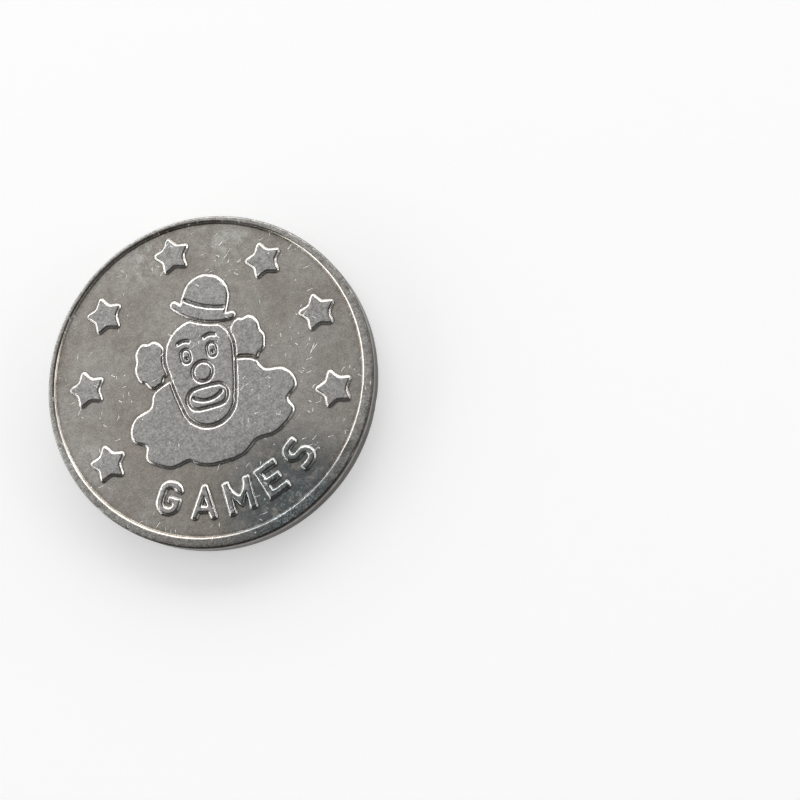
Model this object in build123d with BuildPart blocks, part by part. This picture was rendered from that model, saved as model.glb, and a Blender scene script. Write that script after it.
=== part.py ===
from build123d import *
import math
import os

# Struck steel token for arcade machines, lying flat, obverse up.
# Millimetres. Origin at the centre of the underside, +Z up, +Y towards the top of the design.
# The token is one piece of metal: both faces carry the same design inside a raised rim.

# Blank and rim
DIAMETER = 25.0
THICKNESS = 1.8
EDGE_FILLET = 0.15
RIM_INNER_RADIUS = 11.9
RIM_WALL_WIDTH = 0.14

# The dies meet the blank a little off its centre, so the rim is wider towards the end of the lettering
STRIKE_CENTRE = (-0.11, 0.22)

# Heights of a struck face, measured down from the rim plane
RELIEF_DROP = 0.04
FIELD_DROP_AT_CENTRE = 0.2
FIELD_DROP_AT_RIM = 0.27
RELIEF_ROOT_DROP = 0.4
LINE_DEPTH = 0.1

# Stars along the upper arc, each with one tip up; the die is cut by hand, so they are not quite even
STAR_PLACES = [(9.85, 90), (9.68, 47), (9.5, 131), (9.58, 11.5), (9.26, 166.5), (9.83, -24), (9.67, 203)]
STAR_TIP_RADIUS = 1.5
STAR_VALLEY_RADIUS = 0.86
STAR_TIP_FILLET = 0.14
STAR_VALLEY_FILLET = 0.42

# Lettering along the lower arc
LETTER_ARC_RADIUS = 9.25
LETTER_PITCH_ANGLE = 16.7
LETTER_HEIGHT = 2.45
LETTER_WIDTH = 1.75
LETTER_STROKE = 0.48
THIN_STROKE = 0.42
A_WIDTH = 2.05
A_BAR_Y = -0.55
M_WIDTH = 2.1
M_VALLEY_Y = -0.43
G_CORNER = 0.8
G_MOUTH_Y = 0.3
G_MOUTH_HEIGHT = 0.55
G_BAR_Y = -0.12
G_BAR_WIDTH = 0.96
S_TIP_SHORTENING = 0.04
E_MIDDLE_BAR_WIDTH = 1.54

# Clown's head, in a frame of its own with +Y from chin to hat
HEAD_CENTRE = (-0.1, 0.6)
HEAD_TILT = -4
SKULL_RADIUS = 2.6
SKULL_Y = 1.3
JAW_RADIUS = 1.95
JAW_Y = -2.2
GAP = 0.26
LINE_WIDTH = 0.2
EYE_X = 1.02
EYE_Y = 1.35
EYE_HEIGHT = 1.2
EYE_WIDTH = 0.8
EYE_LINE = 0.14
PUPIL_RADIUS = 0.13
PUPIL_Y = 1.15
BROW_RADIUS = 0.9
BROW_Y = 1.62
BROW_HALF_ANGLE = 35
NOSE_RADIUS = 0.66
NOSE_Y = -0.1
MUZZLE_WIDTH = 3.3
MUZZLE_HEIGHT = 1.8
MUZZLE_Y = -2.05
SMILE_RADIUS = 1.75
SMILE_HALF_ANGLE = 42
SMILE_Y = -0.55

# Hair puffs, one each side of the head, placed in the head's frame
PUFF_X = 3.75
PUFF_Y = 1.45
PUFF_HALF_WIDTH = 1.3
PUFF_HALF_HEIGHT = 1.8
PUFF_LOBES = 5
PUFF_RUFFLE = 0.14

# Bowler hat, in a frame of its own with +Y towards the crown
HAT_CENTRE = (0.95, 4.72)
HAT_TILT = -29
BRIM_HALF_LENGTH = 2.3
BRIM_END_Y = 0.34
BRIM_MIDDLE_Y = -0.2
BRIM_HALF_THICKNESS = 0.25
CROWN_RADIUS = 1.75
CROWN_CENTRE_Y = 1.3
CROWN_FOOT_RADIUS = 1.26
CROWN_FOOT_X = 0.49
CROWN_FOOT_Y = 0.2
BAND_HALF_LENGTH = 1.63
BAND_END_Y = 0.85
BAND_MIDDLE_Y = 0.63

# Ruffled collar, in a frame of its own
COLLAR_CENTRE = (-0.15, -2.8)
COLLAR_TILT = 0
COLLAR_HALF_WIDTH = 6.55
COLLAR_HALF_HEIGHT = 3.7
COLLAR_LOBES = 7
COLLAR_RUFFLE = 0.13

# A lobe of a ruffled edge runs from valley to valley through these fractions of its width
LOBE_STEPS = (0, 0.22, 0.5, 0.78)
LOBE_FULLNESS = 0.6

RADIUS = DIAMETER / 2
RELIEF_TOP = THICKNESS - RELIEF_DROP
RELIEF_ROOT = THICKNESS - RELIEF_ROOT_DROP
FIELD_RADIUS = RIM_INNER_RADIUS - RIM_WALL_WIDTH
FIELD_RISE = FIELD_DROP_AT_RIM - FIELD_DROP_AT_CENTRE
FIELD_CROWN_RADIUS = (FIELD_RADIUS**2 + FIELD_RISE**2) / (2 * FIELD_RISE)
HALF_HEIGHT = LETTER_HEIGHT / 2
HEAD_PLACE = Location((*HEAD_CENTRE, 0), (0, 0, HEAD_TILT))
HAT_PLACE = Location((*HAT_CENTRE, 0), (0, 0, HAT_TILT))
COLLAR_PLACE = Location((*COLLAR_CENTRE, 0), (0, 0, COLLAR_TILT))
STRIKE_PLACE = Location((*STRIKE_CENTRE, 0))
TURNING_AXIS = Axis((0, 0, THICKNESS / 2), (0, 1, 0))
HOLLOW_TOP = THICKNESS + RELIEF_ROOT_DROP


def polar(radius, angle):
    """Point at a radius and an angle in degrees."""
    turn = math.radians(angle)
    return (radius * math.cos(turn), radius * math.sin(turn))


# ---- stars and lettering


def star_sketch():
    """Five-pointed star with rounded tips and hollow sides, one tip up."""
    tips = [polar(STAR_TIP_RADIUS, 90 + 72 * i) for i in range(5)]
    valleys = [polar(STAR_VALLEY_RADIUS, 126 + 72 * i) for i in range(5)]
    with BuildSketch() as star:
        Polygon(*[point for pair in zip(tips, valleys) for point in pair], align=None)
        fillet(star.vertices().sort_by(SortBy.DISTANCE)[5:], radius=STAR_TIP_FILLET)
        fillet(star.vertices().sort_by(SortBy.DISTANCE)[:5], radius=STAR_VALLEY_FILLET)
    return star.sketch


def letter_g():
    """Capital G: a round bowl open at the right, with a bar."""
    hole_width = LETTER_WIDTH - 2 * LETTER_STROKE
    hole_height = LETTER_HEIGHT - 2 * LETTER_STROKE
    right = (LETTER_WIDTH - LETTER_STROKE) / 2
    with BuildSketch() as glyph:
        RectangleRounded(LETTER_WIDTH, LETTER_HEIGHT, G_CORNER)
        RectangleRounded(hole_width, hole_height, G_CORNER - LETTER_STROKE, mode=Mode.SUBTRACT)
        with Locations((right, G_MOUTH_Y)):
            Rectangle(2 * LETTER_STROKE, G_MOUTH_HEIGHT, mode=Mode.SUBTRACT)
        with Locations((LETTER_WIDTH / 2, G_BAR_Y)):
            Rectangle(G_BAR_WIDTH, THIN_STROKE, align=(Align.MAX, Align.CENTER))
    return glyph.sketch


def letter_a():
    """Capital A with a cross bar, cut level at its foot and top."""
    half = (A_WIDTH - LETTER_STROKE) / 2
    with BuildSketch() as glyph:
        with BuildLine():
            Polyline((-half, -HALF_HEIGHT), (0, HALF_HEIGHT - THIN_STROKE / 2), (half, -HALF_HEIGHT))
        trace(line_width=THIN_STROKE)
        with Locations((0, A_BAR_Y)):
            Rectangle(1.5 * half, THIN_STROKE)
        Rectangle(2 * A_WIDTH, LETTER_HEIGHT, mode=Mode.INTERSECT)
    return glyph.sketch


def letter_m():
    """Capital M: two upright strokes and a V."""
    half = (M_WIDTH - LETTER_STROKE) / 2
    shoulder = HALF_HEIGHT - LETTER_STROKE / 2
    with BuildSketch() as glyph:
        with BuildLine():
            Polyline((-half, shoulder), (0, M_VALLEY_Y), (half, shoulder))
        trace(line_width=THIN_STROKE)
        with Locations((-half, 0), (half, 0)):
            Rectangle(LETTER_STROKE, LETTER_HEIGHT)
    return glyph.sketch


def letter_e():
    """Capital E: a spine and three bars."""
    rise = (LETTER_HEIGHT - LETTER_STROKE) / 2
    with BuildSketch() as glyph:
        with Locations((-LETTER_WIDTH / 2, 0)):
            Rectangle(LETTER_STROKE, LETTER_HEIGHT, align=(Align.MIN, Align.CENTER))
            Rectangle(E_MIDDLE_BAR_WIDTH, LETTER_STROKE, align=(Align.MIN, Align.CENTER))
        with Locations((0, rise), (0, -rise)):
            Rectangle(LETTER_WIDTH, LETTER_STROKE)
    return glyph.sketch


def letter_s():
    """Capital S: two half rings joined at the middle, with straight ends."""
    ring = (LETTER_HEIGHT - LETTER_STROKE) / 4
    end = (LETTER_WIDTH - LETTER_STROKE) / 2 - ring
    tip = end + ring - S_TIP_SHORTENING
    with BuildSketch() as glyph:
        with BuildLine():
            Line((tip, 2 * ring), (-end, 2 * ring))
            CenterArc((-end, ring), ring, 90, 180)
            Line((-end, 0), (end, 0))
            CenterArc((end, -ring), ring, 90, -180)
            Line((end, -2 * ring), (-tip, -2 * ring))
        trace(line_width=LETTER_STROKE)
    return glyph.sketch


def lettering_sketch():
    """The word GAMES, each letter upright along a radius."""
    glyphs = [letter_g(), letter_a(), letter_m(), letter_e(), letter_s()]
    with BuildSketch() as word:
        for i, glyph in enumerate(glyphs):
            turn = (i - 2) * LETTER_PITCH_ANGLE
            x, y = polar(LETTER_ARC_RADIUS, turn - 90)
            with Locations(Location((x, y, 0), (0, 0, turn))):
                add(glyph)
    return word.sketch


def stars_sketch():
    """Seven stars spread along the upper arc."""
    star = star_sketch()
    with BuildSketch() as ring:
        with Locations(*[polar(radius, angle) for radius, angle in STAR_PLACES]):
            add(star)
    return ring.sketch


# ---- clown: whole outlines first, then what shows of each


def ruffled_sketch(half_width, half_height, lobes, ruffle, side=1):
    """Oval with a scalloped edge of round lobes and tight valleys, one lobe pointing down."""
    points = []
    for lobe in range(lobes):
        for step in LOBE_STEPS:
            swell = 1 - ruffle * (1 - math.sin(math.pi * step) ** LOBE_FULLNESS)
            x, y = polar(swell, -90 + 360 / lobes * (lobe + step - 0.5))
            points.append((side * half_width * x, half_height * y))
    with BuildSketch() as oval:
        with BuildLine():
            Spline(*points, periodic=True)
        make_face()
    return oval.sketch


def head_outline(margin=0.0):
    """Egg-shaped head, grown all round by a margin."""
    with BuildSketch() as head:
        with Locations((0, SKULL_Y)):
            Circle(SKULL_RADIUS + margin)
        with Locations((0, JAW_Y)):
            Circle(JAW_RADIUS + margin)
        make_hull()
    return head.sketch.moved(HEAD_PLACE)


def crown_outline(margin=0.0):
    """The hat's round crown, cut level at its foot."""
    with BuildSketch() as crown:
        with Locations((0, CROWN_CENTRE_Y)):
            Circle(CROWN_RADIUS + margin)
        with Locations((-CROWN_FOOT_X, CROWN_FOOT_Y), (CROWN_FOOT_X, CROWN_FOOT_Y)):
            Circle(CROWN_FOOT_RADIUS)
        make_hull()
        reach = 4 * CROWN_RADIUS
        Rectangle(reach, reach, align=(Align.CENTER, Align.MIN), mode=Mode.INTERSECT)
    return crown.sketch


def hat_outline(margin=0.0):
    """Bowler hat from the side: a crown on a sagging brim, grown by a margin."""
    half_thickness = BRIM_HALF_THICKNESS + margin
    left_end = (-BRIM_HALF_LENGTH, BRIM_END_Y)
    right_end = (BRIM_HALF_LENGTH, BRIM_END_Y)
    with BuildSketch() as hat:
        with BuildLine():
            ThreePointArc(left_end, (0, BRIM_MIDDLE_Y), right_end)
        trace(line_width=2 * half_thickness)
        with Locations(left_end, right_end):
            Circle(half_thickness)
        add(crown_outline(margin))
    return hat.sketch.moved(HAT_PLACE)


def puffs_outline():
    """Two curly hair puffs, one each side of the head."""
    with BuildSketch() as puffs:
        for side in (-1, 1):
            with Locations((side * PUFF_X, PUFF_Y)):
                add(ruffled_sketch(PUFF_HALF_WIDTH, PUFF_HALF_HEIGHT, PUFF_LOBES, PUFF_RUFFLE, side))
    return puffs.sketch.moved(HEAD_PLACE)


def collar_outline(margin=0.0):
    """Wide ruffled collar, grown all round by a margin."""
    half_width = COLLAR_HALF_WIDTH + margin
    half_height = COLLAR_HALF_HEIGHT + margin
    return ruffled_sketch(half_width, half_height, COLLAR_LOBES, COLLAR_RUFFLE).moved(COLLAR_PLACE)


def clown_sketch():
    """Hat in front of head, head in front of collar and hair, each with a gap round it."""
    with BuildSketch() as clown:
        add(collar_outline())
        add(head_outline(GAP), mode=Mode.SUBTRACT)
    with BuildSketch() as puffs:
        add(puffs_outline())
        add(head_outline(GAP), mode=Mode.SUBTRACT)
        add(hat_outline(GAP), mode=Mode.SUBTRACT)
        add(collar_outline(GAP), mode=Mode.SUBTRACT)
    with BuildSketch() as face:
        add(head_outline())
        add(hat_outline(GAP), mode=Mode.SUBTRACT)
    with BuildSketch() as whole:
        add(clown.sketch)
        add(puffs.sketch)
        add(face.sketch)
        add(hat_outline())
    return whole.sketch


# ---- sunk lines


def eye_sketch():
    """An upright oval line round a pupil."""
    with BuildSketch() as eye:
        with Locations((0, EYE_Y)):
            SlotOverall(EYE_HEIGHT, EYE_WIDTH, rotation=90)
            SlotOverall(
                EYE_HEIGHT - 2 * EYE_LINE, EYE_WIDTH - 2 * EYE_LINE, rotation=90, mode=Mode.SUBTRACT
            )
        with Locations((0, PUPIL_Y)):
            Circle(PUPIL_RADIUS)
    return eye.sketch


def face_lines():
    """Eyes, brows, painted muzzle, nose and smile."""
    eye = eye_sketch()
    with BuildSketch() as lines:
        with Locations((-EYE_X, 0), (EYE_X, 0)):
            add(eye)
        for side in (-1, 1):
            with BuildLine():
                CenterArc((side * EYE_X, BROW_Y), BROW_RADIUS, 90 - BROW_HALF_ANGLE, 2 * BROW_HALF_ANGLE)
            trace(line_width=LINE_WIDTH)
        with Locations((0, MUZZLE_Y)):
            SlotOverall(MUZZLE_WIDTH, MUZZLE_HEIGHT)
            SlotOverall(MUZZLE_WIDTH - 2 * LINE_WIDTH, MUZZLE_HEIGHT - 2 * LINE_WIDTH, mode=Mode.SUBTRACT)
        with Locations((0, NOSE_Y)):
            Circle(NOSE_RADIUS + LINE_WIDTH)
            Circle(NOSE_RADIUS, mode=Mode.SUBTRACT)
        with BuildLine():
            CenterArc((0, SMILE_Y), SMILE_RADIUS, 270 - SMILE_HALF_ANGLE, 2 * SMILE_HALF_ANGLE)
        trace(line_width=LINE_WIDTH)
    return lines.sketch.moved(HEAD_PLACE)


def band_line():
    """The line of the hat's band, above the brim."""
    left_end = (-BAND_HALF_LENGTH, BAND_END_Y)
    right_end = (BAND_HALF_LENGTH, BAND_END_Y)
    with BuildSketch() as band:
        with BuildLine():
            ThreePointArc(left_end, (0, BAND_MIDDLE_Y), right_end)
        trace(line_width=LINE_WIDTH)
    return band.sketch.moved(HAT_PLACE)


# ---- raised design of one face, standing on a root inside the blank
with BuildPart() as relief:
    with BuildSketch(Plane.XY.offset(RELIEF_ROOT)) as design:
        add(stars_sketch())
        add(lettering_sketch())
        add(clown_sketch())
    extrude(amount=RELIEF_TOP - RELIEF_ROOT)
    with BuildSketch(Plane.XY.offset(RELIEF_TOP)) as sunk_lines:
        add(face_lines())
        add(band_line())
    extrude(amount=-LINE_DEPTH, mode=Mode.SUBTRACT)

# ---- hollow inside the rim of one face, down to its slightly crowned field
with BuildPart() as hollow:
    with BuildSketch(Plane.XZ) as half_section:
        with BuildLine():
            centre = (0, THICKNESS - FIELD_DROP_AT_CENTRE)
            foot = (FIELD_RADIUS, THICKNESS - FIELD_DROP_AT_RIM)
            RadiusArc(centre, foot, FIELD_CROWN_RADIUS)
            Line(foot, (RIM_INNER_RADIUS, THICKNESS))
            Polyline((RIM_INNER_RADIUS, THICKNESS), (RIM_INNER_RADIUS, HOLLOW_TOP), (0, HOLLOW_TOP), centre)
        make_face()
    revolve(axis=Axis.Z)

# ---- token: a round blank, struck with the same design on both faces
with BuildPart() as token:
    Cylinder(RADIUS, THICKNESS, align=(Align.CENTER, Align.CENTER, Align.MIN))
    fillet(token.edges().filter_by(GeomType.CIRCLE), radius=EDGE_FILLET)
    struck_hollow = hollow.part.moved(STRIKE_PLACE)
    struck_relief = relief.part.moved(STRIKE_PLACE)
    add(struck_hollow, mode=Mode.SUBTRACT)
    add(struck_hollow.rotate(TURNING_AXIS, 180), mode=Mode.SUBTRACT)
    add(struck_relief)
    add(struck_relief.rotate(TURNING_AXIS, 180))

token.part.label = "token"
os.makedirs("parts", exist_ok=True)
export_step(token.part, "parts/token.step")
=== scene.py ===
"""A struck arcade token lying on a pale studio floor.

The CAD token gives the outline of every raised figure. The visible piece is one closed mesh built
round those outlines: soft struck walls, a slightly domed field, a rounded rim, small nicks, and the
same design turned over on the back. The strike is a little off the blank's centre, so the rim is
wider on one side. The token's lengths are in millimetres until its mesh is made.
"""

import math

import bpy
import numpy as np
from mathutils import Matrix, Vector, geometry, kdtree, noise


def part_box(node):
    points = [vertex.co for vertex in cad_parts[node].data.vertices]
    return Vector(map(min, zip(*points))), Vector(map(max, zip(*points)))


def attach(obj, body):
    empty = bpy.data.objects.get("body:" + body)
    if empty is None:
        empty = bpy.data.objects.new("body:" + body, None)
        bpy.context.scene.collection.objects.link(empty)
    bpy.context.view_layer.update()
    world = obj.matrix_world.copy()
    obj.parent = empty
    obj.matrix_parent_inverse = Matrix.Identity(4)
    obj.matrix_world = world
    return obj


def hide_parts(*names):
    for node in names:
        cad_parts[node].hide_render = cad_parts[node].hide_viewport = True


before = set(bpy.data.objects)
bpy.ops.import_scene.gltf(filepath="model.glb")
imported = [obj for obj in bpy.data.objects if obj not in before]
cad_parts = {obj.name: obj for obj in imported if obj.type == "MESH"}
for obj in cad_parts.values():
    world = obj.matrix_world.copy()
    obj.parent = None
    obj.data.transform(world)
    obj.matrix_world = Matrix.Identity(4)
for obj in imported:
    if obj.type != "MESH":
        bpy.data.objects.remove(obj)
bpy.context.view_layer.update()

MM = 0.001

# Token sizes
node_low, node_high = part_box("token")
RADIUS = (node_high.x - node_low.x) / 2 / MM
THICKNESS = (node_high.z - node_low.z) / MM
RELIEF_DROP = 0.04
FIELD_DROP_CENTRE = 0.20
FIELD_DROP_EDGE = 0.27
RIM_FILLET = 0.15
RELIEF_TOP = THICKNESS - RELIEF_DROP
FIELD_CENTRE = THICKNESS - FIELD_DROP_CENTRE
FIELD_EDGE = THICKNESS - FIELD_DROP_EDGE

# Where the dies met the blank, a little off its centre
STRIKE_CENTRE = np.array([-0.11, 0.22])

# The rim's inner wall, steep and then chamfered: radius, and share of the climb from field to rim
RIM_PROFILE = ((11.77, 0.0), (11.85, 0.64), (11.97, 0.97), (12.02, 1.0))
RIM_FOOT_RADIUS, RIM_TOP_RADIUS = RIM_PROFILE[0][0], RIM_PROFILE[-1][0]

# Spacing of the mesh's rings up that wall, and the width over which the rim's metal sets in
RIM_RING_STEP = 0.03
RIM_BLEND = 0.08

# Struck walls: signed distance from a figure's outline, positive outside, and share of its height
WALL_PROFILE = ((-0.11, 1.0), (0.0, 0.74), (0.07, 0.06), (0.11, 0.0))

# A figure's top falls by the crown's height over the crown's width, towards its outline
CROWN_WIDTH = 0.22
CROWN_HEIGHT = 0.012

# Distances from an outline where the mesh has a ring of points, and where painted shade lies at a
# wall's foot
RING_DISTANCES = (-0.21, -0.14, -0.11, -0.08, -0.03, 0.0, 0.03, 0.07, 0.11, 0.16, 0.23)
FOOT_DISTANCE = 0.13
FOOT_WIDTH = 0.055

# Mesh spacing
OUTLINE_STEP = 0.04
CORNER_SOFTNESS = 0.05
CORNER_REACH = 5
CORNER_TURN = math.radians(35)
FEWEST_POINTS = 12
RING_STEP = 0.10
LONGEST_JOIN = 2 * RING_STEP
FILL_STEP = 0.30
RIM_SEGMENTS = 640
FILLET_ROWS = 4
SIDE_ROWS = (0.72, 0.5, 0.28)

# Outline points are rounded to microns; the rest is how near two measures are taken as the same
MICRONS_PER_MM = 1000
LEVEL_TOLERANCE = 0.003
RING_TOLERANCE = 0.006
MERGE_TOLERANCE = 1e-6

# The directions of the points round the rim
TURN = np.arange(RIM_SEGMENTS) * 2 * math.pi / RIM_SEGMENTS
CIRCLE = np.stack([np.cos(TURN), np.sin(TURN)], axis=1)

# Unevenness of the metal, from two layers of one noise for the two faces
TOP_LAYER = 0.0
BACK_LAYER = 50.0
UNDULATION = 0.006
UNDULATION_SIZE = 3.5
WOBBLE = 0.022
WOBBLE_SIZE = 0.4

# Knocks round the rims: seed of the draws, number, sizes and depths
SEED = 7
NICK_COUNT = 26
NICK_SIZES = (0.15, 0.42)
NICK_DEPTHS = (0.012, 0.045)

# The side's colour, a painted dark reflection: how far inside the outline it starts and is full, and
# the line rubbed brighter along it, with its height above the floor, ragged edge, fade and full width
SIDE_START = 0.12
SIDE_FULL = 0.03
WORN_LINE_HEIGHT = 1.30
WORN_RAGGEDNESS = 0.35
WORN_FADE = 0.46
WORN_FULL = 0.24

# Places on the obverse with a colour of their own: centre, radius, and softness beyond the radius
DARK_RIM_PLACE = ((1.0, -12.5, RELIEF_TOP), 3.0, 11.0)
PATINA_PLACE = ((3.4, -10.6, RELIEF_TOP), 2.2, 4.8)
FLECK_PLACE = ((3.5, -10.9, RELIEF_TOP), 0.8, 1.8)
TOP_STAIN_PLACE = ((4.0, 9.9, RELIEF_TOP), 0.5, 2.6)
LEFT_STAIN_PLACE = ((-2.3, 10.5, RELIEF_TOP), 0.5, 2.6)
LOW_STAIN_PLACE = ((-10.6, -2.6, RELIEF_TOP), 0.4, 2.4)

# How strongly each layer of colour covers the one below it
RELIEF_COVER = 0.8
RIM_COVER = 0.8
PATINA_COVER = 0.85
FLECK_COVER = 0.5
STAIN_COVER = 0.75
LOW_STAIN_SHARE = 0.7
# The walls' lighter colour, partly wear and partly a painted highlight
WALL_WEAR_AND_HIGHLIGHT_COVER = 0.6
MARK_COVER = 0.85
SPARKLE_COVER = 0.6
# Painted shade at the foot of the walls: its least and most cover
FOOT_SHADE_LEAST, FOOT_SHADE_MOST = 0.12, 0.60

# Sizes of the metal's random patterns, from large clouds down to sparkles
CLOUD_SIZE = 4.5
CROWD_SIZE = 2.4
MOTTLE_SIZE = 0.8
BLOTCH_SIZE = 0.45
GRAIN_SIZE = 0.13
SPARKLE_SIZE = 0.10

# Speckles: their darkest and lightest tint, and how much of it the rim and the field take
SPECKLE_DARK, SPECKLE_LIGHT = 0.64, 1.30
RIM_SPECKLE = 1.3
FIELD_SPECKLE = 0.7

# Roughness: its range over the field, and what the relief, the rim, the scratches and polish change
SMOOTH_FIELD, ROUGH_FIELD = 0.23, 0.30
RELIEF_ROUGHNESS = 0.04
RIM_ROUGHNESS = 0.08
MARK_ROUGHNESS = 0.15
WALL_POLISH = 0.12

# Scratches: angle in degrees, length, spacing, share of the cells that hold one, and a shift that
# keeps each set apart from the others
SHORT_SCRATCHES = (
    (35, 2.4, 0.32, 0.55, 3.1),
    (-52, 1.8, 0.30, 0.50, 17.3),
    (4, 2.2, 0.30, 0.35, 29.9),
    (76, 1.5, 0.30, 0.55, 41.7),
    (0, 0.45, 0.45, 0.30, 67.7),
)
LONG_SCRATCHES = (52, 5.0, 0.42, 0.12, 53.3)
SHIFT_DIRECTION = (1.0, 1.7, 0.6)
SCRATCH_FADE = 0.14
SCRATCH_FULL = 0.07

# Bump: depth of the grain on the relief, and as shares of it the grain's depth on the rim and the
# field, and the scratches'
BUMP_DEPTH = 0.010
RIM_GRAIN = 0.9
FIELD_GRAIN = 0.4
SCRATCH_DEPTH = 1.6

# Camera: above the token, off towards +X and -Y, aimed so that the token lies left of the middle
CAMERA_AT = Vector((32.29, -38.78, 132.2)) * MM
CAMERA_AIM = Vector((13.23, -6.24, 1.8)) * MM
CAMERA_ROLL = math.radians(-17.07)
CAMERA_LENS = 85.0
CAMERA_NEAR = 0.005
CAMERA_FAR = 10.0

# Colours of the metal, linear
FIELD_DARK = (0.50, 0.455, 0.405, 1)
FIELD_LIGHT = (0.63, 0.595, 0.55, 1)
RELIEF_COLOUR = (0.63, 0.625, 0.61, 1)
RIM_LIGHT = (0.56, 0.55, 0.52, 1)
RIM_DARK = (0.34, 0.33, 0.31, 1)
# The side, painted dark as a painted dark reflection, and brighter along the rubbed line
SIDE_SHADE_DARK = (0.065, 0.058, 0.05, 1)
SIDE_SHADE_WORN = (0.31, 0.29, 0.27, 1)
# Lighter walls, partly wear and partly a painted highlight
WALL_WEAR_AND_HIGHLIGHT_COLOUR = (0.82, 0.81, 0.79, 1)
# Painted shade for the foot of the walls
FOOT_SHADE_COLOUR = (0.16, 0.14, 0.12, 1)
PATINA_COLOUR = (0.17, 0.20, 0.21, 1)
FLECK_COLOUR = (0.55, 0.66, 0.68, 1)
STAIN_COLOUR = (0.84, 0.84, 0.78, 1)
MARK_COLOUR = (0.97, 0.96, 0.94, 1)

# Studio: lengths in metres, angles in degrees
PANEL_DISTANCE = 1.3
FLOOR_RADIUS = 0.8
FLOOR_SIDES = 96
GLOW_TOP = 14
ZENITH_START = 74

# Soft panels: azimuth from +X towards +Y, elevation, width, height, and radiance
PANELS = {
    "back_panel": (74, 21, 84, 30, 3.1),
    "left_panel": (160, 13, 88, 22, 3.0),
    "right_panel": (6, 12, 58, 22, 2.6),
    "front_panel": (-33, 15, 46, 20, 0.50),
    "overhead_panel": (122, 54, 66, 42, 0.50),
}


# Outlines ------------------------------------------------------------------------------------


def relief_loops(node):
    """Closed outlines of the raised figures, with the figure on the left of each."""
    mesh = node.data
    mesh.calc_loop_triangles()
    points = np.array([v.co for v in mesh.vertices]) / MM
    triangles = np.array([t.vertices for t in mesh.loop_triangles])
    on_top = np.abs(points[triangles, 2] - RELIEF_TOP).max(axis=1) < LEVEL_TOLERANCE
    microns = np.round(points[:, :2] * MICRONS_PER_MM).astype(int)
    places, index = np.unique(microns, axis=0, return_inverse=True)
    triangles = index.reshape(-1)[triangles[on_top]]
    edges = {(int(t[i]), int(t[i - 2])) for t in triangles for i in range(3)}
    following = {a: b for a, b in edges if (b, a) not in edges}
    loops = []
    while following:
        start, after = following.popitem()
        loop = [start]
        while after != start:
            loop.append(after)
            after = following.pop(after)
        loops.append(places[loop] / MICRONS_PER_MM)
    return sorted(loops, key=lambda loop: tuple(loop.min(axis=0)))


def smooth_loop(loop):
    """The loop as a smooth curve through its points, sampled finely, with softened corners."""
    chords = np.roll(loop, -1, axis=0) - loop
    lengths = np.linalg.norm(chords, axis=1)
    along = chords / lengths[:, None]
    before = np.roll(along, 1, axis=0)
    weight = (1 / lengths)[:, None]
    tangents = along * weight + before * np.roll(weight, 1, axis=0)
    tangents /= np.linalg.norm(tangents, axis=1)[:, None]
    corner = (along * before).sum(axis=1) < math.cos(CORNER_TURN)
    samples = []
    for i in range(len(loop)):
        j = (i + 1) % len(loop)
        out, into = tangents[i], tangents[j]
        if corner[i] and corner[j]:
            out = into = along[i]
        elif corner[i]:
            out = 2 * (along[i] @ into) * along[i] - into
        elif corner[j]:
            into = 2 * (along[i] @ out) * along[i] - out
        count = max(1, round(lengths[i] / OUTLINE_STEP))
        t = (np.arange(count) / count)[:, None]
        samples.append(
            loop[i] * (2 * t**3 - 3 * t**2 + 1)
            + loop[j] * (3 * t**2 - 2 * t**3)
            + out * lengths[i] * (t**3 - 2 * t**2 + t)
            + into * lengths[i] * (t**3 - t**2)
        )
    curve = evenly(np.concatenate(samples), OUTLINE_STEP)
    reach = np.arange(-CORNER_REACH, CORNER_REACH + 1)
    kernel = np.exp(-((reach * OUTLINE_STEP / CORNER_SOFTNESS) ** 2) / 2)
    kernel /= kernel.sum()
    return sum(k * np.roll(curve, r, axis=0) for k, r in zip(kernel, reach))


def evenly(curve, step):
    """A closed curve with its points about one step apart."""
    closed = np.concatenate([curve, curve[:1]])
    run = np.concatenate([[0], np.cumsum(np.linalg.norm(np.diff(closed, axis=0), axis=1))])
    count = max(FEWEST_POINTS, round(run[-1] / step))
    places = np.arange(count) * run[-1] / count
    return np.stack([np.interp(places, run, closed[:, axis]) for axis in (0, 1)], axis=1)


def outward(curve):
    """Unit normals of a closed curve, away from the figure on its left."""
    along = np.roll(curve, -1, axis=0) - np.roll(curve, 1, axis=0)
    along /= np.linalg.norm(along, axis=1)[:, None]
    return np.stack([along[:, 1], -along[:, 0]], axis=1)


class Relief:
    """Signed distance to the nearest outline, positive on the field and negative on a figure."""

    def __init__(self, curves):
        self.points = np.concatenate(curves)
        self.normals = np.concatenate([outward(c) for c in curves])
        self.tree = kdtree.KDTree(len(self.points))
        for i, point in enumerate(self.points):
            self.tree.insert((point[0], point[1], 0), i)
        self.tree.balance()

    def distance(self, places):
        nearest = np.array([self.tree.find((x, y, 0))[1] for x, y in places])
        offset = places - self.points[nearest]
        normal = self.normals[nearest]
        across = (offset * normal).sum(axis=1)
        sideways = offset[:, 0] * normal[:, 1] - offset[:, 1] * normal[:, 0]
        sideways = np.clip(sideways, -OUTLINE_STEP / 2, OUTLINE_STEP / 2)
        length = np.sqrt(np.maximum((offset**2).sum(axis=1) - sideways**2, 0))
        return np.where(across < 0, -length, length)


# One face of the token, seen from above -------------------------------------------------------


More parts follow.
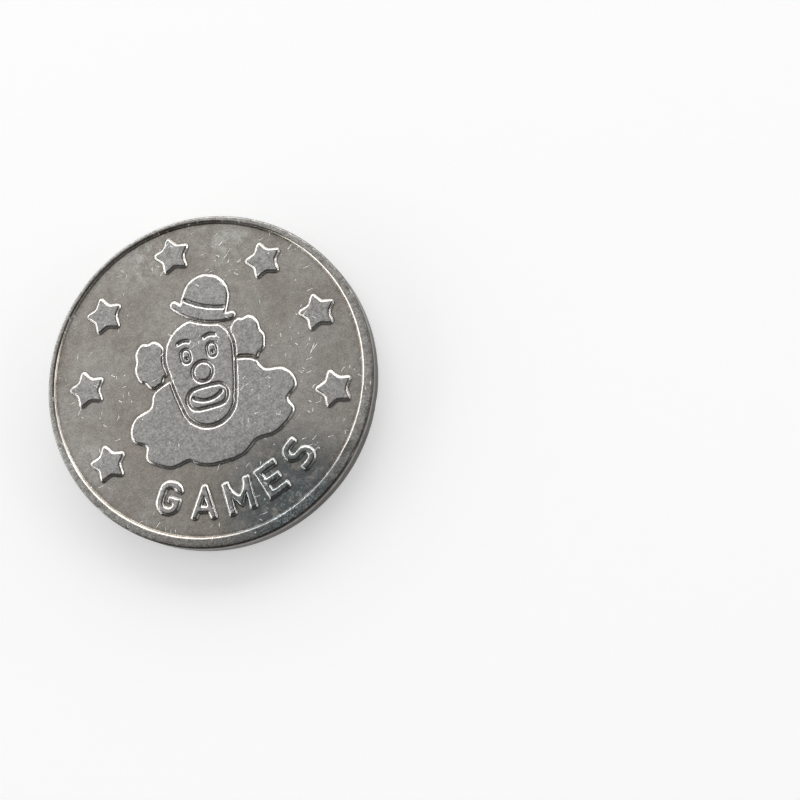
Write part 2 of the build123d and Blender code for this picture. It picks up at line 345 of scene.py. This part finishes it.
def fill_points(relief, reach):
    """Evenly spaced points within a reach of the strike's centre, clear of every figure's rings."""
    rows = np.arange(-RADIUS, RADIUS, FILL_STEP * math.sqrt(0.75))
    columns = np.arange(-RADIUS, RADIUS, FILL_STEP)
    staggered = [(x + (r % 2) * FILL_STEP / 2, y) for r, y in enumerate(rows) for x in columns]
    grid = np.array(staggered)
    grid = grid[np.linalg.norm(grid - STRIKE_CENTRE, axis=1) < reach - FILL_STEP / 2]
    clear = relief.distance(grid)
    low_clear = RING_DISTANCES[0] - FILL_STEP / 2
    high_clear = RING_DISTANCES[-1] + FILL_STEP / 2
    return grid[(clear < low_clear) | (clear > high_clear)]


def flat_mesh(curves, relief):
    """Points and triangles of a face, and its outermost points, where the rim's rounding starts."""
    places = []
    joins = []

    def add_chain(chain, keep):
        first = len(places)
        index = -np.ones(len(chain), int)
        index[keep] = first + np.arange(keep.sum())
        places.extend(chain[keep])
        for a, b in zip(index, np.roll(index, -1)):
            if a >= 0 and b >= 0 and a != b:
                if np.linalg.norm(places[a] - places[b]) < LONGEST_JOIN:
                    joins.append((int(a), int(b)))

    for curve in curves:
        coarse = evenly(curve, RING_STEP)
        normals = outward(coarse)
        for distance in RING_DISTANCES:
            ring = coarse + normals * distance
            true = np.abs(relief.distance(ring) - distance) < RING_TOLERANCE
            add_chain(ring, true)

    everything = np.ones(RIM_SEGMENTS, bool)
    past_the_top = RIM_TOP_RADIUS + 1.5 * RIM_RING_STEP
    rim_radii = np.arange(RIM_FOOT_RADIUS - RIM_RING_STEP, past_the_top, RIM_RING_STEP)
    for radius in rim_radii:
        add_chain(CIRCLE * radius + STRIKE_CENTRE, everything)
    rim_edge = RADIUS - RIM_FILLET
    halfway = (CIRCLE * (rim_radii[-1] + rim_edge) + STRIKE_CENTRE) / 2
    add_chain(halfway, everything)
    edge_start = len(places)
    add_chain(CIRCLE * rim_edge, everything)

    places.extend(fill_points(relief, rim_radii[0]))

    # Triangles over the whole face, and for each of its points which of the given ones it came from
    flat_points = [Vector(p) for p in places]
    made = geometry.delaunay_2d_cdt(flat_points, joins, [], 0, MERGE_TOLERANCE, True)
    corners, _, triangles, origins, _, _ = made
    points = np.array([tuple(p) for p in corners])
    edge = {}
    for i, sources in enumerate(origins):
        for source in sources:
            if edge_start <= source < edge_start + RIM_SEGMENTS:
                edge[source - edge_start] = i
    return points, np.array(triangles), np.array([edge[k] for k in range(RIM_SEGMENTS)])


def unevenness(places, layer, size):
    """A smooth random value for each place."""
    return np.array([noise.noise(Vector((x, y, layer)) / size) for x, y in places])


def face_height(places, distance, layer):
    """Height of a face's points, and how far each is part of a figure, a wall's foot and the rim."""
    radius = np.linalg.norm(places - STRIKE_CENTRE, axis=1)
    wave = UNDULATION * unevenness(places, layer, UNDULATION_SIZE)
    field = FIELD_CENTRE + (FIELD_EDGE - FIELD_CENTRE) * (radius / RIM_FOOT_RADIUS) ** 2
    field = field + wave
    inside = np.clip(-distance / CROWN_WIDTH, 0, 1)
    top = RELIEF_TOP - CROWN_HEIGHT * (1 - inside) ** 2 + wave
    stray = WOBBLE * unevenness(places, layer, WOBBLE_SIZE)
    raised = np.interp(distance + stray, *zip(*WALL_PROFILE))
    height = field + (top - field) * raised
    rim = np.interp(radius, *zip(*RIM_PROFILE))
    foot = np.exp(-(((distance - FOOT_DISTANCE) / FOOT_WIDTH) ** 2))
    rim_foot = np.exp(-(((radius - RIM_FOOT_RADIUS) / FOOT_WIDTH) ** 2))
    rim_top = np.interp(radius, (RIM_TOP_RADIUS - RIM_BLEND, RIM_TOP_RADIUS), (0.0, 1.0))
    return height + (THICKNESS - height) * rim, raised, np.maximum(foot, rim_foot), rim_top


# The whole token ------------------------------------------------------------------------------


def edge_profile():
    """Radius and height of the side's rows, between the two faces' outermost rings."""
    upper = [
        (
            RADIUS - RIM_FILLET + RIM_FILLET * math.sin(angle),
            THICKNESS - RIM_FILLET + RIM_FILLET * math.cos(angle),
        )
        for angle in np.arange(1, FILLET_ROWS + 1) * math.pi / (2 * FILLET_ROWS)
    ]
    middle = [(RADIUS, THICKNESS * share) for share in SIDE_ROWS]
    lower = [(r, THICKNESS - z) for r, z in reversed(upper)]
    return upper + middle + lower


def side_faces(edge, face_size, row_count):
    """Quads that join the two faces through the side's rows; the back's edge is turned over."""
    turned = (RIM_SEGMENTS // 2 - np.arange(RIM_SEGMENTS)) % RIM_SEGMENTS
    rings = [edge]
    for row in range(row_count):
        rings.append(2 * face_size + row * RIM_SEGMENTS + np.arange(RIM_SEGMENTS))
    rings.append(face_size + edge[turned])
    faces = []
    for upper, lower in zip(rings, rings[1:]):
        upper_next, lower_next = np.roll(upper, -1), np.roll(lower, -1)
        faces += np.stack([upper, lower, lower_next, upper_next], axis=1).tolist()
    return faces


def nick_places(draw):
    """Centres, sizes and depths of the small knocks round both rims."""
    for _ in range(NICK_COUNT):
        angle = draw.uniform(0, 2 * math.pi)
        radius = draw.uniform(RIM_TOP_RADIUS, RADIUS)
        side = draw.choice([0, THICKNESS])
        centre = np.array([radius * math.cos(angle), radius * math.sin(angle), side])
        yield centre, draw.uniform(*NICK_SIZES), draw.uniform(*NICK_DEPTHS)


def knocked(points):
    """The token's points with the small knocks pressed inward."""
    for centre, size, depth in nick_places(np.random.default_rng(SEED)):
        offset = points - centre
        pull = depth * np.exp(-((offset / size) ** 2).sum(axis=1))[:, None]
        inward = np.array([-centre[0] / RADIUS, -centre[1] / RADIUS, -1 if centre[2] else 1])
        points = points + pull * inward
    return points


def token_mesh(name):
    """The token as one closed mesh, with the masks that its metal reads."""
    curves = [smooth_loop(loop) for loop in relief_loops(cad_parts["token"])]
    relief = Relief(curves)
    places, triangles, edge = flat_mesh(curves, relief)
    distance = relief.distance(places)

    top_height, raised, foot, rim = face_height(places, distance, TOP_LAYER)
    back_height, back_raised, back_foot, back_rim = face_height(places, distance, BACK_LAYER)
    top = np.column_stack([places, top_height])
    back = np.column_stack([-places[:, 0], places[:, 1], THICKNESS - back_height])
    rows = [np.column_stack([CIRCLE * r, np.full(RIM_SEGMENTS, z)]) for r, z in edge_profile()]
    points = knocked(np.concatenate([top, back, *rows]))

    faces = triangles.tolist() + (triangles + len(top)).tolist()
    faces += side_faces(edge, len(top), len(rows))
    mesh = bpy.data.meshes.new(name)
    mesh.from_pydata((points * MM).tolist(), [], faces)

    plain = np.zeros(len(rows) * RIM_SEGMENTS)
    masks = {
        "relief": (raised, back_raised, plain),
        "foot": (foot, back_foot, plain),
        "rim": (rim, back_rim, plain + 1),
    }
    for mask, values in masks.items():
        mesh.attributes.new(mask, "FLOAT", "POINT").data.foreach_set("value", np.concatenate(values))
    mesh.shade_smooth()
    mesh.validate()
    return mesh


# Metal ------------------------------------------------------------------------------------------


class Nodes:
    """A node tree being made, with short ways to add the kinds of node used here."""

    def __init__(self, tree):
        self.tree = tree
        tree.nodes.clear()

    def node(self, kind, inputs=(), **settings):
        made = self.tree.nodes.new(kind)
        for key, value in settings.items():
            setattr(made, key, value)
        for key, value in dict(inputs).items():
            if isinstance(value, bpy.types.NodeSocket):
                self.tree.links.new(value, made.inputs[key])
            else:
                made.inputs[key].default_value = value
        return made

    def math(self, operation, a, b):
        return self.node("ShaderNodeMath", {0: a, 1: b}, operation=operation).outputs[0]

    def plus(self, a, b):
        return self.math("ADD", a, b)

    def minus(self, a, b):
        return self.math("SUBTRACT", a, b)

    def times(self, a, b):
        return self.math("MULTIPLY", a, b)

    def greatest(self, *values):
        result = values[0]
        for value in values[1:]:
            result = self.math("MAXIMUM", result, value)
        return result

    def vector_math(self, operation, a, b=(0, 0, 0), scale=1.0):
        inputs = {0: a, 3: scale} if operation == "SCALE" else {0: a, 1: b}
        made = self.node("ShaderNodeVectorMath", inputs, operation=operation)
        return made.outputs[1 if operation in ("DISTANCE", "LENGTH") else 0]

    def step(self, value, start, end, low=0.0, high=1.0):
        """A smooth step from low at the start to high at the end, which may be below the start."""
        inputs = {"Value": value, "From Min": start, "From Max": end, "To Min": low, "To Max": high}
        made = self.node("ShaderNodeMapRange", inputs, interpolation_type="SMOOTHSTEP")
        return made.outputs["Result"]

    def mix(self, factor, a, b):
        """A mix of two colours, through the colour sockets of a Mix node."""
        inputs = {"Factor": factor, 6: a, 7: b}
        return self.node("ShaderNodeMix", inputs, data_type="RGBA").outputs[2]


class Surface(Nodes):
    """A material being made, round one Principled shader."""

    def __init__(self, name):
        self.material = bpy.data.materials.new(name)
        self.material.use_nodes = True
        super().__init__(self.material.node_tree)

    def complete(self, **settings):
        """Makes the shader from its settings, named as its sockets are, and links it up."""
        inputs = {key.replace("_", " "): value for key, value in settings.items()}
        shader = self.node("ShaderNodeBsdfPrincipled", inputs)
        self.node("ShaderNodeOutputMaterial", {"Surface": shader.outputs[0]})
        return self.material


class TokenMetal(Surface):
    """Struck metal, with the masks and patterns that its colour, gloss and grain share.

    The patterns are in millimetres, in the token's own frame.
    """

    def __init__(self):
        super().__init__("token_metal")
        metres = self.node("ShaderNodeTexCoord").outputs["Object"]
        self.place = self.vector_math("SCALE", metres, scale=1 / MM)

        self.raised = self.attribute("relief")
        self.foot = self.attribute("foot")
        self.rim = self.attribute("rim")
        # One halfway up a wall, and nothing on the field or on a figure's top
        half_raised = self.times(self.raised, self.minus(1.0, self.raised))
        self.wall = self.times(half_raised, 4.0)
        across = self.vector_math("LENGTH", self.vector_math("MULTIPLY", self.place, (1, 1, 0)))
        self.side = self.step(across, RADIUS - SIDE_START, RADIUS - SIDE_FULL)
        self.face = self.minus(1.0, self.side)

        self.cloud = self.noise(CLOUD_SIZE, detail=4.0, roughness=0.6)
        self.mottle = self.noise(MOTTLE_SIZE, detail=4.0, roughness=0.65)
        self.grain = self.noise(GRAIN_SIZE, detail=1.5)
        self.blotch = self.noise(BLOTCH_SIZE)
        self.speckle = self.plus(self.times(self.grain, 0.6), self.times(self.blotch, 0.4))
        self.marks = self.times(self.all_scratches(), self.face)

    def attribute(self, name):
        return self.node("ShaderNodeAttribute", attribute_name=name).outputs["Fac"]

    def noise(self, size, detail=2.0, roughness=0.5):
        inputs = {"Vector": self.place, "Scale": 1 / size, "Detail": detail, "Roughness": roughness}
        return self.node("ShaderNodeTexNoise", inputs).outputs["Fac"]

    def near(self, centre, radius, softness):
        """One within a radius of a place, and falling to nothing over the softness beyond it."""
        away = self.vector_math("DISTANCE", self.place, centre)
        return self.step(away, radius + softness, radius)

    def scratches(self, angle, length, spacing, share, shift):
        """Thin separate scratches along one direction: the middles of stretched random cells."""
        inputs = {
            "Vector": self.place,
            "Location": [shift * part for part in SHIFT_DIRECTION],
            "Rotation": (0, 0, math.radians(angle)),
            "Scale": (length, spacing, 1),
        }
        stretched = self.node("ShaderNodeMapping", inputs, vector_type="TEXTURE").outputs[0]
        cells = self.node("ShaderNodeTexVoronoi", {"Vector": stretched, "Scale": 1.0})
        chance = self.node("ShaderNodeSeparateColor", {0: cells.outputs["Color"]})
        kept = self.math("LESS_THAN", chance.outputs[0], share)
        line = self.step(cells.outputs["Distance"], SCRATCH_FADE, SCRATCH_FULL)
        return self.times(line, kept)

    def all_scratches(self):
        """Short scratches where they crowd, and a few long ones everywhere."""
        short = self.greatest(*[self.scratches(*sizes) for sizes in SHORT_SCRATCHES])
        crowd = self.step(self.noise(CROWD_SIZE, detail=1.0), 0.42, 0.58)
        return self.greatest(self.times(short, crowd), self.scratches(*LONG_SCRATCHES))

    def clean_colour(self):
        """Warm clouded field, neutral relief, and a rim that is darker near the lettering."""
        colour = self.mix(self.step(self.cloud, 0.36, 0.64), FIELD_DARK, FIELD_LIGHT)
        colour = self.mix(self.times(self.raised, RELIEF_COVER), colour, RELIEF_COLOUR)
        rim_colour = self.mix(self.near(*DARK_RIM_PLACE), RIM_LIGHT, RIM_DARK)
        return self.mix(self.times(self.rim, RIM_COVER), colour, rim_colour)

    def stained(self, colour):
        """The colour with tarnish and its pale flecks, and three pale stains."""
        patina = self.times(self.near(*PATINA_PLACE), self.step(self.mottle, 0.26, 0.52))
        colour = self.mix(self.times(patina, PATINA_COVER), colour, PATINA_COLOUR)
        flecks = self.times(self.near(*FLECK_PLACE), self.step(self.speckle, 0.53, 0.60))
        colour = self.mix(self.times(flecks, FLECK_COVER), colour, FLECK_COLOUR)

        top_stain = self.near(*TOP_STAIN_PLACE)
        left_stain = self.near(*LEFT_STAIN_PLACE)
        low_stain = self.times(self.near(*LOW_STAIN_PLACE), LOW_STAIN_SHARE)
        stain = self.greatest(top_stain, left_stain, low_stain)
        stain = self.times(stain, self.step(self.mottle, 0.40, 0.62))
        return self.mix(self.times(stain, STAIN_COVER), colour, STAIN_COLOUR)

    def shaded_and_rubbed(self, colour):
        """The colour with lighter walls, partly wear and partly a painted highlight, painted shade at
        their feet, and the side painted dark as a painted reflection, brighter along a rubbed line.
        """
        # Walls lightened, partly wear and partly a painted highlight that whitens their reflections
        colour = self.mix(self.times(self.wall, WALL_WEAR_AND_HIGHLIGHT_COVER), colour, WALL_WEAR_AND_HIGHLIGHT_COLOUR)
        # Painted shade at the foot of every wall, and of the rim's wall
        foot_shade = self.times(self.foot, self.step(self.mottle, 0.36, 0.60, FOOT_SHADE_LEAST, FOOT_SHADE_MOST))
        colour = self.mix(foot_shade, colour, FOOT_SHADE_COLOUR)

        # The side painted dark, a painted dark reflection, brighter along a ragged rubbed line
        upward = self.vector_math("MULTIPLY", self.place, (0, 0, 1))
        from_line = self.vector_math("DISTANCE", upward, (0, 0, WORN_LINE_HEIGHT))
        ragged = self.plus(from_line, self.times(self.mottle, WORN_RAGGEDNESS))
        side_colour = self.mix(self.step(ragged, WORN_FADE, WORN_FULL), SIDE_SHADE_DARK, SIDE_SHADE_WORN)
        return self.mix(self.side, colour, side_colour)

    def speckled(self, colour):
        """The colour lighter and darker in fine speckles, most on the relief and the rim."""
        tint = self.step(self.speckle, 0.28, 0.72, SPECKLE_DARK, SPECKLE_LIGHT)
        amount = self.greatest(self.raised, self.times(self.rim, RIM_SPECKLE), FIELD_SPECKLE)
        tint = self.plus(self.times(self.minus(tint, 1.0), amount), 1.0)
        return self.vector_math("SCALE", colour, scale=tint)

    def scratched(self, colour):
        """The colour with bright scratches, and sparkles on the frosted relief and rim."""
        frosted = self.times(self.greatest(self.raised, self.rim), self.face)
        sparkle = self.times(self.step(self.noise(SPARKLE_SIZE, detail=0.0), 0.66, 0.76), frosted)
        bright = self.greatest(self.times(self.marks, MARK_COVER), self.times(sparkle, SPARKLE_COVER))
        return self.mix(bright, colour, MARK_COLOUR)

    def colour(self):
        return self.scratched(self.speckled(self.shaded_and_rubbed(self.stained(self.clean_colour()))))

    def roughness(self):
        """Clouded, rougher on the relief, the rim and the scratches, and polished on some walls."""
        rough = self.step(self.cloud, 0.3, 0.7, SMOOTH_FIELD, ROUGH_FIELD)
        rough = self.plus(rough, self.times(self.raised, RELIEF_ROUGHNESS))
        rough = self.plus(rough, self.times(self.rim, RIM_ROUGHNESS))
        rough = self.plus(rough, self.times(self.marks, MARK_ROUGHNESS))
        polish = self.times(self.wall, self.step(self.blotch, 0.35, 0.65, 0.0, WALL_POLISH))
        return self.minus(rough, polish)

    def bump(self):
        """A fine grain, deepest on the relief, with the scratches cut into it."""
        depth = self.greatest(self.raised, self.times(self.rim, RIM_GRAIN), FIELD_GRAIN)
        height = self.minus(self.times(self.grain, depth), self.times(self.marks, SCRATCH_DEPTH))
        inputs = {"Height": height, "Strength": 1.0, "Distance": BUMP_DEPTH * MM}
        return self.node("ShaderNodeBump", inputs).outputs[0]


def token_metal():
    s = TokenMetal()
    return s.complete(Metallic=1.0, Base_Color=s.colour(), Roughness=s.roughness(), Normal=s.bump())


def floor_paper():
    s = Surface("floor_paper")
    paper = (0.90, 0.90, 0.90, 1)
    white = (1, 1, 1, 1)
    return s.complete(Base_Color=paper, Roughness=0.9, Emission_Color=white, Emission_Strength=0.45)


# Studio -----------------------------------------------------------------------------------------


def make_camera():
    back = (CAMERA_AT - CAMERA_AIM).normalized()
    right = Vector((0, 1, 0)).cross(back).normalized()
    up = back.cross(right)
    turn = Matrix.Rotation(CAMERA_ROLL, 3, back)
    axes = Matrix([turn @ right, turn @ up, back]).transposed()
    data = bpy.data.cameras.new("camera")
    data.lens = CAMERA_LENS
    data.clip_start = CAMERA_NEAR
    data.clip_end = CAMERA_FAR
    camera = bpy.data.objects.new("camera", data)
    camera.matrix_world = Matrix.Translation(CAMERA_AT) @ axes.to_4x4()
    bpy.context.scene.collection.objects.link(camera)
    bpy.context.scene.camera = camera


def panel(name, azimuth, elevation, wide, high, radiance):
    """A soft panel that faces the token and isn't seen by the camera."""
    a, e = math.radians(azimuth), math.radians(elevation)
    towards = Vector((math.cos(a) * math.cos(e), math.sin(a) * math.cos(e), math.sin(e)))
    width = 2 * PANEL_DISTANCE * math.tan(math.radians(wide) / 2)
    height = 2 * PANEL_DISTANCE * math.tan(math.radians(high) / 2)
    data = bpy.data.lights.new(name, "AREA")
    data.shape = "RECTANGLE"
    data.size = width
    data.size_y = height
    data.energy = radiance * width * height * math.pi
    light = bpy.data.objects.new(name, data)
    light.location = towards * PANEL_DISTANCE
    light.rotation_mode = "QUATERNION"
    light.rotation_quaternion = towards.to_track_quat("Z", "Y")
    light.visible_camera = False
    bpy.context.scene.collection.objects.link(light)


def make_world(seen, horizon, ceiling, zenith):
    """A pale backdrop for the camera; for the light, a low glow, a dark ceiling and a soft zenith."""
    world = bpy.data.worlds.new("studio")
    world.use_nodes = True
    n = Nodes(world.node_tree)
    direction = n.node("ShaderNodeTexCoord").outputs["Generated"]
    up = n.node("ShaderNodeSeparateXYZ", {0: direction}).outputs["Z"]
    low_glow = n.step(up, math.sin(math.radians(GLOW_TOP)), 0.0, ceiling, horizon)
    high_glow = n.step(up, math.sin(math.radians(ZENITH_START)), 1.0, 0.0, zenith)
    light = n.plus(low_glow, high_glow)
    from_camera = n.node("ShaderNodeLightPath").outputs["Is Camera Ray"]
    strength = n.node("ShaderNodeMix", {"Factor": from_camera, "A": light, "B": seen}).outputs["Result"]
    background = n.node("ShaderNodeBackground", {"Color": (1, 1, 1, 1), "Strength": strength})
    n.node("ShaderNodeOutputWorld", {"Surface": background.outputs[0]})
    bpy.context.scene.world = world


def make_floor():
    mesh = bpy.data.meshes.new("floor")
    turn = np.arange(FLOOR_SIDES) * 2 * math.pi / FLOOR_SIDES
    outline = [(FLOOR_RADIUS * math.cos(t), FLOOR_RADIUS * math.sin(t), 0) for t in turn]
    mesh.from_pydata(outline, [], [range(FLOOR_SIDES)])
    mesh.materials.append(floor_paper())
    floor = bpy.data.objects.new("floor", mesh)
    bpy.context.scene.collection.objects.link(floor)


make_camera()
make_floor()
make_world(seen=0.93, horizon=0.42, ceiling=0.05, zenith=0.45)
for panel_name, panel_sizes in PANELS.items():
    panel(panel_name, *panel_sizes)
bpy.context.scene.view_settings.view_transform = "Standard"

token = bpy.data.objects.new("struck_token", token_mesh("struck_token"))
bpy.context.scene.collection.objects.link(token)
token.data.materials.append(token_metal())
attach(token, "root")
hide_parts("token")
